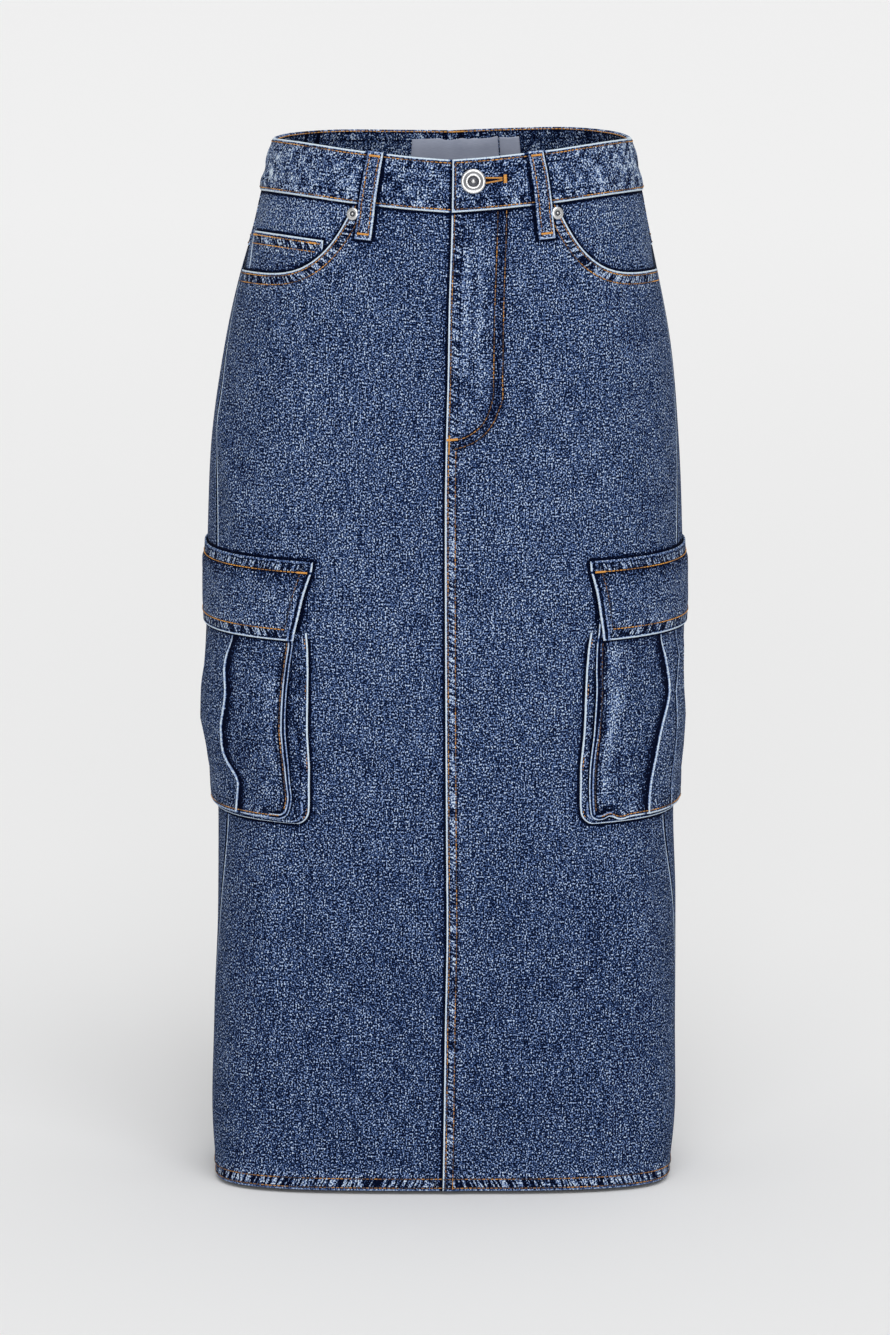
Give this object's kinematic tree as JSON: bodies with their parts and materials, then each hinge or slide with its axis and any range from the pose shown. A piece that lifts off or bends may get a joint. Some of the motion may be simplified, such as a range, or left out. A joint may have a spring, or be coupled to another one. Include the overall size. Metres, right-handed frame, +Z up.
{
  "type": "skirt",
  "caption": "Denim midi skirt in its worn form, open at waist and hem, with a buttoned fly, scooped hip pockets, flapped cargo pockets, back yokes and belt loops.",
  "frame": {"origin": "centre of the waist opening, half way down the waistband's height at the side seams", "axes": "+Z up towards the waist, -Y out of the front, +X to the wearer's left"},
  "size_m": [0.3787, 0.2492, 0.8116],
  "materials": {
    "denim": "stonewashed blue twill, worn pale at its edges",
    "denim_inside": "the twill's paler inner side",
    "steel": "tumbled nickel-plated steel",
    "label_cloth": "plain woven label, bare"
  },
  "bodies": {
    "root": {"front_left": "denim", "front_right": "denim", "back_left": "denim", "back_right": "denim", "yoke_left": "denim", "yoke_right": "denim", "pocket_facing_left": "denim", "pocket_facing_right": "denim", "coin_pocket": "denim", "waistband": "denim", "belt_loop_front_left": "denim", "belt_loop_front_right": "denim", "belt_loop_back_left": "denim", "belt_loop_back_right": "denim", "belt_loop_centre_back": "denim", "cargo_gusset_left": "denim", "cargo_gusset_right": "denim", "cargo_face_left": "denim", "cargo_face_right": "denim", "cargo_flap_left": "denim", "cargo_flap_right": "denim", "fly_shield": "denim_inside", "label": "label_cloth", "size_tab": "label_cloth", "waist_button": "steel", "rivet_left": "steel", "rivet_right": "steel"}
  },
  "joints": []
}
